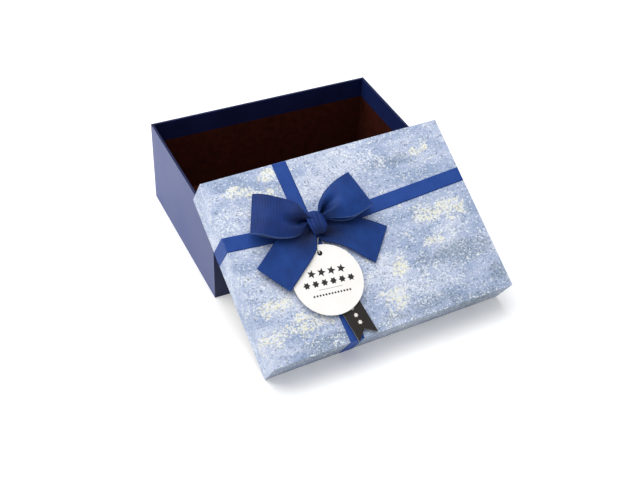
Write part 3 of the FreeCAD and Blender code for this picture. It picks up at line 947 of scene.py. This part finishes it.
@dataclass(frozen=True)
class Knot:
    """The knot: a gathered turn of ribbon round the middle of the bow, in mm on the lid.

    It runs from -1 to 1 across. pinch narrows it at its front and back, lean slants it, and
    squareness below 1 flattens its round. edge_drop and edge_sharpness draw its edges in.
    flat, the ribbon's visible width and its length once round, in metres, is not used.
    """

    middle: Point3 = (-39.9, 22.3, 43.9)
    half_across: float = 8.3
    pinch: float = 1.1
    half_depth: float = 11.2
    half_height: float = 5.7
    lean: float = -0.8
    squareness: tuple[float, float] = (0.8, 0.85)
    edge_drop: float = 0.20
    edge_sharpness: float = 3.2
    creases: tuple[Crease, ...] = (
        Crease(-0.62, 0.0, 0.13, 0.15), Crease(-0.12, 0.15, 0.11, 0.55 / 6),
        Crease(0.36, 0.2, 0.12, 0.65 / 6),
    )
    flat: tuple[float, float] = (0.0166, 0.053)
    rows: int = 96
    columns: int = 33

    def grid(self) -> np.ndarray:
        """Return the knot's points, rows round it and points across it, in mm."""
        angle = np.linspace(0, 2 * math.pi, self.rows, endpoint=False)[:, None]
        across = np.linspace(-1, 1, self.columns)[None, :]
        turn, rise = np.cos(angle), np.sin(angle)
        round_y, round_z = (np.sign(part) * np.abs(part) ** power
                            for part, power in zip((turn, rise), self.squareness))
        swell = 1 - self.edge_drop * np.abs(across) ** self.edge_sharpness
        swell = swell - np.clip(rise, 0, 1) * sum(crease.sink(across, turn) for crease in self.creases)
        x, y, z = self.middle
        half = self.half_across - self.pinch * turn ** 2
        return np.stack(np.broadcast_arrays(x + across * half + self.lean * turn,
                                            y + self.half_depth * round_y * swell,
                                            z + self.half_height * round_z * swell), axis=-1)


class Bow:
    """The wide ribbon bow on the lid: two loops, two tails and the knot."""

    knot = Knot()
    loops: tuple[GatheredRibbon, ...] = (
        GatheredRibbon(
            "bow_loop_left", "bow_left_loop", BowPart.LEFT_LOOP, (-47, 26.5), (-92.7, 47.4),
            upper=((-6, 3.5), (0, 4.4), (3.3, 9.4), (8.2, 13.4), (16.6, 16.0), (34, 17.6), (46, 18.2),
                   (52, 18.6)),
            lower=((-6, -4.4), (0, -5.6), (2.8, -11.6), (9.7, -17.8), (21.4, -21.6), (39.6, -21.8),
                   (52, -20.2)),
            path=((-6, 45.6), (0, 46.0), (5, 46.8), (12, 47.4), (22, 48.0), (32, 49.0), (38.5, 49.6),
                  (43, 49.0), (47.6, 47.2), (51.0, 45.0), (48.8, 43.3), (40, 42.9), (26, 43.0), (12, 43.3),
                  (3, 44.0), (-6, 44.4)),
            folds=(Fold(-0.16, -0.08, -7.0, 0.24, 32), Fold(0.52, 0.6, 2.8, 0.34, 22),
                   Fold(-0.60, -0.6, 1.8, 0.22, 16), Fold(1.0, 1.0, -1.4, 0.2, 20),
                   Fold(-1.0, -1.0, -1.4, 0.2, 18)),
            under_folds=(Fold(0.0, 0.0, -0.4, 0.4, 12),),
            crown=((0, 1.5), (8, 3.6), (18, 4.0), (34, 3.0), (44, 1.2), (50, 0.2)),
            under_inset=0.08),
        GatheredRibbon(
            "bow_loop_right", "bow_right_loop", BowPart.RIGHT_LOOP, (-32, 28), (15.3, 41.0),
            upper=((-6, 3), (0, 3.6), (2.3, 6.6), (8.5, 12.2), (19, 16.2), (33, 18.2), (52, 18.9)),
            lower=((-6, -3), (0, -3.2), (2.3, -5.4), (11.5, -13.6), (21.6, -19.0), (35.3, -20.2),
                   (52, -19.4)),
            path=((-6, 45.8), (0, 46.4), (5, 48.6), (12, 50.6), (22, 51.4), (32, 51.2), (41, 49.8),
                  (46.8, 47.8), (49.0, 45.4), (46.6, 43.2), (38, 42.4), (26, 41.6), (12, 41.6),
                  (3, 42.8), (-6, 43.8)),
            folds=(Fold(0.05, 0.42, -6.4, 0.26, 27), Fold(0.8, 0.95, 2.2, 0.3, 26),
                   Fold(-0.5, -0.15, 2.6, 0.3, 24), Fold(-1.0, -1.0, -1.5, 0.25, 20)),
            under_folds=(Fold(0.0, 0.0, -0.4, 0.4, 12),),
            crown=((0, 0.5), (10, 2.4), (22, 3.0), (34, 2.4), (46, 0.6), (50, 0.2)),
            under_inset=0.05),
    )
    tails: tuple[GatheredRibbon, ...] = (
        GatheredRibbon(
            "bow_tail_left", "bow_left_tail", BowPart.TAIL, (-47.5, 18), (-96.5, -16.2),
            upper=((-8, 3), (0, 4), (6, 11), (14, 16.5), (24.4, 18.8), (40, 18.4), (60, 18.0)),
            lower=((-8, -4), (0, -7), (3, -10.4), (6.5, -13.2), (10.2, -15.4), (18.5, -16.9),
                   (38.2, -17.6), (60, -18.0)),
            path=((-8, 43.4), (0, 43.0), (6, 42.4), (14, 42.0), (28, 42.2), (44, 42.2), (60, 41.3)),
            folds=(Fold(-0.2, 0.1, -0.7, 0.3, 20), Fold(-0.75, -0.8, 0.5, 0.3, 22)),
            crown=((0, 0.0), (16, -0.1), (40, -0.5), (60, -0.25)), slant=0.3, rows=90),
        GatheredRibbon(
            "bow_tail_right", "bow_right_tail", BowPart.TAIL, (-33, 17), (15.75, -14.1),
            upper=((-8, 5), (0, 6), (5, 10), (12, 15), (20, 18.5), (32, 19.9), (61, 19.5)),
            lower=((-8, -9), (0, -11.5), (4.7, -12.6), (14.1, -11.6), (30.7, -13.6), (43, -17.2),
                   (55, -19.4)),
            path=((-8, 40.0), (0, 39.4), (8, 39.0), (16, 39.1), (28, 39.3), (42, 38.9), (57.8, 37.6)),
            folds=(Fold(0.2, 0.6, 2.2, 0.32, 66), Fold(-0.25, -0.3, -2.2, 0.25, 20),
                   Fold(0.9, 0.9, -1.2, 0.3, 50)),
            crown=((0, 0.0), (60, 0.0)), slant=2.9, rows=90),
    )

    def build(self, finishes: Finishes) -> list[bpy.types.Object]:
        """Build the loops and the tails.

        Args:
            finishes: The gift box's finishes.

        Returns:
            The pieces.
        """
        pieces = []
        for ribbon in (*self.loops, *self.tails):
            grid = ribbon.grid()
            piece = sheet_object(ribbon.name, grid, BOW_WIDTH)
            piece.data.materials.append(finishes.ribbons[ribbon.part])
            stand_in(piece, ribbon.replaced)
            pieces.append(piece)
        return pieces

    def build_knot(self, finishes: Finishes) -> bpy.types.Object:
        """Build the knot.

        Args:
            finishes: The gift box's finishes.

        Returns:
            The piece.
        """
        piece = sheet_object("bow_wrap", self.knot.grid(), BOW_WIDTH, closed=True)
        piece.data.materials.append(finishes.by_slot[Slot.BOW_RIBBON])
        stand_in(piece, "bow_knot")
        return piece


# ---------------------------------------------------------------- narrow ribbons


@dataclass(frozen=True)
class BandRibbon:
    """A narrow ribbon stretched over the lid, down two walls and up inside the rim.

    middle is its middle line on the lid. half is half the lid's size along it. bridge is the
    middle and half length of the stretch that crosses over the other ribbon, slope the length
    of the rise to it, and rise its height in thicknesses. soft is how many points the middle
    line is averaged over. Sizes are in mm.
    """

    name: str
    replaced: str
    middle: tuple[Point2, ...]
    along_x: bool
    half: float
    bridge: tuple[float, float] | None = None
    top: float = 36.0
    wall: float = 2.15
    tuck: float = 12.0
    thick: float = 0.35
    slope: float = 2.5
    rise: float = 1.05
    sheet_share: float = 0.9
    soft: int = 9
    columns: int = 15

    def _profile(self) -> list[Point2]:
        """Return the ribbon's route: distances along the lid and levels."""
        gap = self.thick / 2
        out, inner = self.half + gap, self.half - self.wall - gap
        # inside the wall, round under the rim, up the wall and over the top's edge
        left = [(-inner, self.tuck), (-inner, 4.0), (-inner, 0.9), (-inner - 0.35, -gap * 0.4),
                (-out + 0.6, -gap * 0.8), (-out + 0.1, 0.3), (-out, 1.2), (-out, 6.0), (-out, 18.0),
                (-out, 30.0), (-out, self.top - 1.2), (-out + 0.12, self.top - 0.35),
                (-out + 0.5, self.top + 0.1), (-out + 1.3, self.top + gap)]
        middle = [(place, self.top + gap) for place in np.linspace(-out + 6, out - 6, 60)]
        return left + middle + [(-place, level) for place, level in reversed(left)]

    def build(self, finishes: Finishes) -> bpy.types.Object:
        """Build the ribbon.

        Args:
            finishes: The gift box's finishes.

        Returns:
            The piece.
        """
        route, soft = np.array(self._profile()), self.soft
        fine = np.array([point for pair in zip(route[:-1], route[1:])
                         for point in np.linspace(pair[0], pair[1], 4, endpoint=False)]
                        + [route[-1]])
        along, level = fine[:, 0], fine[:, 1].copy()
        if self.bridge:
            centre, reach = self.bridge
            step = np.clip((reach + self.slope - np.abs(along - centre)) / self.slope, 0, 1)
            level += self.thick * self.rise * step * step * (3 - 2 * step) * (level > self.top)
        places, sides = np.array(self.middle, float).T
        centre_line = np.pad(np.interp(along, places, sides), soft // 2, mode="edge")
        centre_line = np.convolve(centre_line, np.ones(soft) / soft, mode="valid")
        across = np.linspace(-1, 1, self.columns)[None, :] * BAND_WIDTH / MM / 2
        side = centre_line[:, None] + across
        first = np.broadcast_to(along[:, None], side.shape)
        heights = np.broadcast_to(level[:, None], side.shape)
        order = (first, side, heights) if self.along_x else (side, first, heights)
        grid = np.stack(order, axis=-1)
        piece = sheet_object(self.name, grid, BAND_WIDTH, thickness=self.thick * self.sheet_share)
        piece.data.materials.append(finishes.by_slot[Slot.BAND_RIBBON])
        stand_in(piece, self.replaced)
        return piece


BANDS = (
    BandRibbon("band_long", "long_ribbon", ((-125, 28.5), (-40, 20.5), (125, 29.5)), True, 125.0),
    BandRibbon("band_short", "short_ribbon", ((-90, -43), (90, -46.9)), False, 90.0, (20.5, 9.1)),
)


# ---------------------------------------------------------------- tags and thread


class Mark(Enum):
    """The shapes printed on the tags, by number of points and inner radius share."""

    STAR = (5, 0.45)
    DOT = (12, 1.0)
    FLOWER = (6, 0.62)


@dataclass(frozen=True)
class MarkRow:
    """A row of one printed mark on a tag: sizes in mm, turn in degrees from across the tag."""

    mark: Mark
    count: int
    pitch: float
    size: float
    middle: Point2
    turn: float


class PrintMarks:
    """A geometry nodes tree that lays a row of raised ink marks on a card."""

    thickness = 0.00004
    inputs = (("Count", "NodeSocketInt"), ("Pitch", "NodeSocketFloat"), ("Points", "NodeSocketInt"),
              ("Outer", "NodeSocketFloat"), ("Inner", "NodeSocketFloat"),
              ("Thickness", "NodeSocketFloat"), ("Ink", "NodeSocketMaterial"))
    kinds = {
        "given": "NodeGroupInput", "result": "NodeGroupOutput", "line": "GeometryNodeMeshLine",
        "offset": "ShaderNodeCombineXYZ", "star": "GeometryNodeCurveStar",
        "fill": "GeometryNodeFillCurve", "raised": "GeometryNodeExtrudeMesh",
        "under": "GeometryNodeFlipFaces", "joined": "GeometryNodeJoinGeometry",
        "laid": "GeometryNodeInstanceOnPoints", "real": "GeometryNodeRealizeInstances",
        "inked": "GeometryNodeSetMaterial",
    }
    links = (
        ("given", "Count", "line", "Count"), ("given", "Pitch", "offset", "X"),
        ("offset", "Vector", "line", "Offset"), ("given", "Points", "star", "Points"),
        ("given", "Outer", "star", "Outer Radius"), ("given", "Inner", "star", "Inner Radius"),
        ("star", "Curve", "fill", "Curve"), ("fill", "Mesh", "raised", "Mesh"),
        ("given", "Thickness", "raised", "Offset Scale"), ("fill", "Mesh", "under", "Mesh"),
        ("raised", "Mesh", "joined", "Geometry"), ("under", "Mesh", "joined", "Geometry"),
        ("line", "Mesh", "laid", "Points"), ("joined", "Geometry", "laid", "Instance"),
        ("laid", "Instances", "real", "Geometry"), ("real", "Geometry", "inked", "Geometry"),
        ("given", "Ink", "inked", "Material"), ("inked", "Geometry", "result", "Geometry"),
    )

    def __init__(self) -> None:
        """Build the tree with named inputs for its sizes."""
        tree = bpy.data.node_groups.new("printed_mark_row", "GeometryNodeTree")
        self.tree = tree
        self.sockets: dict[str, str] = {}
        tree.interface.new_socket("Geometry", in_out="OUTPUT", socket_type="NodeSocketGeometry")
        for name, kind in self.inputs:
            socket = tree.interface.new_socket(name, in_out="INPUT", socket_type=kind)
            self.sockets[name] = socket.identifier
        nodes = {key: tree.nodes.new(kind) for key, kind in self.kinds.items()}
        nodes["raised"].inputs["Individual"].default_value = False
        for start, output, end, entry in self.links:
            tree.links.new(nodes[start].outputs[output], nodes[end].inputs[entry])

    def row(self, row: MarkRow, ink: bpy.types.Material) -> bpy.types.Mesh:
        """Return one row of marks as a plain mesh that starts at the origin.

        Args:
            row: The row's shape and sizes, in mm.
            ink: The ink's material.

        Returns:
            The mesh, along x.
        """
        carrier = scene_object("mark_row", bpy.data.meshes.new("mark_row"))
        modifier = carrier.modifiers.new("marks", "NODES")
        modifier.node_group = self.tree
        points, inner = row.mark.value
        values = {"Count": row.count, "Pitch": row.pitch * MM, "Points": points,
                  "Outer": row.size * MM, "Inner": row.size * inner * MM,
                  "Thickness": self.thickness, "Ink": ink}
        for name, value in values.items():
            modifier[self.sockets[name]] = value
        graph = bpy.context.evaluated_depsgraph_get()
        graph.update()
        mesh = bpy.data.meshes.new_from_object(carrier.evaluated_get(graph))
        bpy.data.objects.remove(carrier)
        return mesh


@dataclass(frozen=True)
class TagPrint:
    """The ornament printed on one tag, as thin ink on its upper face.

    level is the face's height over the lid's rim plane, and turn is the tag's lay on the lid, in
    degrees. The rows' middles are measured from the thread hole, in mm.
    """

    name: str
    body: Body
    slot: Slot
    level: float
    turn: float
    ink: Ink
    rows: tuple[MarkRow, ...]
    hole: Point2 = (-45.8, -5.1)

    def build(self, marks: PrintMarks, finishes: Finishes) -> bpy.types.Object:
        """Build the ornament.

        Args:
            marks: The tree that lays the rows.
            finishes: The gift box's finishes.

        Returns:
            The piece.
        """
        face = (LID.matrix() @ Matrix.Translation(Vector((*self.hole, self.level)) * MM)
                @ Matrix.Rotation(math.radians(self.turn), 4, "Z"))
        ink = finishes.inks[self.ink]
        points, faces = [], []
        for row in self.rows:
            mesh = marks.row(row, ink)
            start = -(row.count - 1) * row.pitch / 2
            place = (face @ Matrix.Translation(Vector((*row.middle, 0)) * MM)
                     @ Matrix.Rotation(math.radians(row.turn), 4, "Z")
                     @ Matrix.Translation(Vector((start, 0, 0)) * MM))
            shift = len(points)
            points += [tuple(place @ vertex.co) for vertex in mesh.vertices]
            faces += [tuple(shift + v for v in polygon.vertices) for polygon in mesh.polygons]
            bpy.data.meshes.remove(mesh)
        mesh = bpy.data.meshes.new(self.name)
        mesh.from_pydata(points, [], faces)
        piece = scene_object(self.name, mesh)
        mesh.materials.append(ink)
        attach(piece, self.body.value)
        return piece


ROUND_MARKS = (
    MarkRow(Mark.STAR, 4, 9.6, 4.3, (0.6, -17.8), 0.0),
    MarkRow(Mark.FLOWER, 6, 8.6, 3.5, (0.2, -27.6), 0.0),
    MarkRow(Mark.DOT, 13, 2.9, 0.95, (0.0, -38.6), 0.0),
)
RULE_MARKS = (MarkRow(Mark.DOT, 60, 0.38, 0.24, (0.0, -33.6), 0.0),)
STRIP_MARKS = (MarkRow(Mark.FLOWER, 8, 7.2, 2.3, (0.0, -46.4), 90.0),)
TAG_PRINTS = (
    TagPrint("round_tag_marks", Body.ROUND_TAG, Slot.WHITE_CARD, 40.5, -5.6, Ink.BLACK, ROUND_MARKS),
    TagPrint("round_tag_rule", Body.ROUND_TAG, Slot.WHITE_CARD, 40.5, -5.6, Ink.GREY, RULE_MARKS),
    TagPrint("swallowtail_tag_marks", Body.SWALLOWTAIL_TAG, Slot.BLACK_CARD, 38.3, 8.7, Ink.WHITE,
             STRIP_MARKS),
)


@dataclass(frozen=True)
class TagThread:
    """The thread that both tags hang from, out of the knot, through the holes and back."""

    diameter: float = 0.001
    length: float = 0.035
    # in mm on the lid: over the tags, down through their holes and back under them
    route: tuple[Point3, ...] = (
        (-47.6, 10.0, 41.8), (-48.0, 6.6, 41.3), (-47.2, 3.0, 41.2), (-46.5, -0.8, 41.25),
        (-46.0, -4.8, 41.5), (-46.0, -4.9, 36.95), (-45.0, -1.0, 37.1), (-43.7, 2.6, 37.0),
        (-41.9, 6.8, 37.15), (-40.2, 10.5, 39.2),
    )

    def build(self, finishes: Finishes) -> bpy.types.Object:
        """Build the thread.

        Args:
            finishes: The gift box's finishes.

        Returns:
            The piece.
        """
        points = LID.place(np.array(self.route))
        curve = bpy.data.curves.new("thread_of_tags", "CURVE")
        curve.dimensions = "3D"
        curve.bevel_depth = self.diameter / 2
        curve.bevel_resolution = 4
        curve.resolution_u = 12
        curve.use_fill_caps = True
        spline = curve.splines.new("NURBS")
        spline.points.add(len(points) - 1)
        for target, place in zip(spline.points, points):
            target.co = (*place, 1.0)
        spline.order_u = 3
        spline.use_endpoint_u = True
        piece = scene_object("thread_of_tags", curve)
        curve.materials.append(finishes.by_slot[Slot.WHITE_THREAD])
        stand_in(piece, "tag_thread")
        return piece


# ---------------------------------------------------------------- studio


@dataclass(frozen=True)
class Softbox:
    """A square area light that faces the middle of the object."""

    name: str
    place: Point3
    size: float
    power: float
    aim: Point3 = (0, 0, 0.05)

    def build(self) -> None:
        """Add the light."""
        light = bpy.data.lights.new(self.name, "AREA")
        light.size = self.size
        light.energy = self.power
        lamp = scene_object(self.name, light)
        lamp.location = self.place
        lamp.rotation_euler = (Vector(self.aim) - Vector(self.place)).to_track_quat("-Z", "Y").to_euler()


@dataclass(frozen=True)
class Studio:
    """The floor, the lights and the camera, in metres and degrees."""

    floor_reach: float = 6.0
    floor_glow: float = 0.22
    surroundings: float = 0.40
    softboxes: tuple[Softbox, ...] = (
        Softbox("key_softbox", (-0.34, 0.28, 1.50), 1.9, 31.0),
        Softbox("left_softbox", (-1.7, 0.3, 1.0), 1.4, 3.4),
    )
    position: Point3 = (-0.37661, -0.79070, 0.70392)
    azimuth: float = -27.428
    elevation: float = 40.072
    roll: float = 2.958
    lens: float = 59.92
    sensor: float = 36.0

    def build(self) -> None:
        """Build the floor, the lights and the camera."""
        self._floor()
        self._lights()
        self._camera()

    def _floor(self) -> None:
        """Build the plain pale floor."""
        size = self.floor_reach
        mesh = bpy.data.meshes.new("studio_floor")
        mesh.from_pydata([(-size, -size, 0), (size, -size, 0), (size, size, 0), (-size, size, 0)],
                         [], [(0, 1, 2, 3)])
        floor = scene_object("studio_floor", mesh)
        graph = Graph("studio_white")
        grain = graph.noise(graph.place(), 40, 2)
        graph.surface(Base_Color=graph.ramp(grain, (0.3, 0.90), (0.7, 0.92)), Roughness=0.6,
                      Emission_Color=(1.0, 1.0, 1.0), Emission_Strength=self.floor_glow)
        mesh.materials.append(graph.material)

    def _lights(self) -> None:
        """Build the white surroundings and the soft boxes."""
        world = bpy.data.worlds.new("studio_world")
        world.use_nodes = True
        background = world.node_tree.nodes["Background"]
        background.inputs["Color"].default_value = (1.0, 1.0, 1.0, 1.0)
        background.inputs["Strength"].default_value = self.surroundings
        bpy.context.scene.world = world
        for softbox in self.softboxes:
            softbox.build()
        bpy.context.scene.view_settings.view_transform = "Standard"

    def _camera(self) -> None:
        """Add the camera."""
        azimuth, elevation, roll = (math.radians(value) for value in
                                    (self.azimuth, self.elevation, self.roll))
        back = Vector((math.sin(azimuth) * math.cos(elevation),
                       -math.cos(azimuth) * math.cos(elevation), math.sin(elevation)))
        right = Vector((0, 0, 1)).cross(back).normalized()
        up = back.cross(right)
        rolled_right = math.cos(roll) * right + math.sin(roll) * up
        rolled_up = math.cos(roll) * up - math.sin(roll) * right
        turn = Matrix((rolled_right, rolled_up, back)).transposed()
        data = bpy.data.cameras.new("camera")
        data.lens = self.lens
        data.sensor_width = self.sensor
        camera = scene_object("camera", data)
        camera.matrix_world = Matrix.Translation(self.position) @ turn.to_4x4()
        bpy.context.scene.camera = camera


def corners(box: Iterable[Vector]) -> list[list[float]]:
    """Return a box's two corners as plain lists."""
    return [[float(value) for value in corner] for corner in box]


def main() -> None:
    """Build the gift box's looks and its studio."""
    logging.basicConfig(level=logging.INFO, format="%(name)s: %(message)s")
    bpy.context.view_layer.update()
    finishes = Finishes()
    finishes.dress_cad()
    Studio().build()
    bow = Bow()
    pieces = [bow.build_knot(finishes), *bow.build(finishes)]
    pieces += [band.build(finishes) for band in BANDS]
    pieces.append(TagThread().build(finishes))
    marks = PrintMarks()
    pieces += [tag.build(marks, finishes) for tag in TAG_PRINTS]


if __name__ == "__main__":
    main()
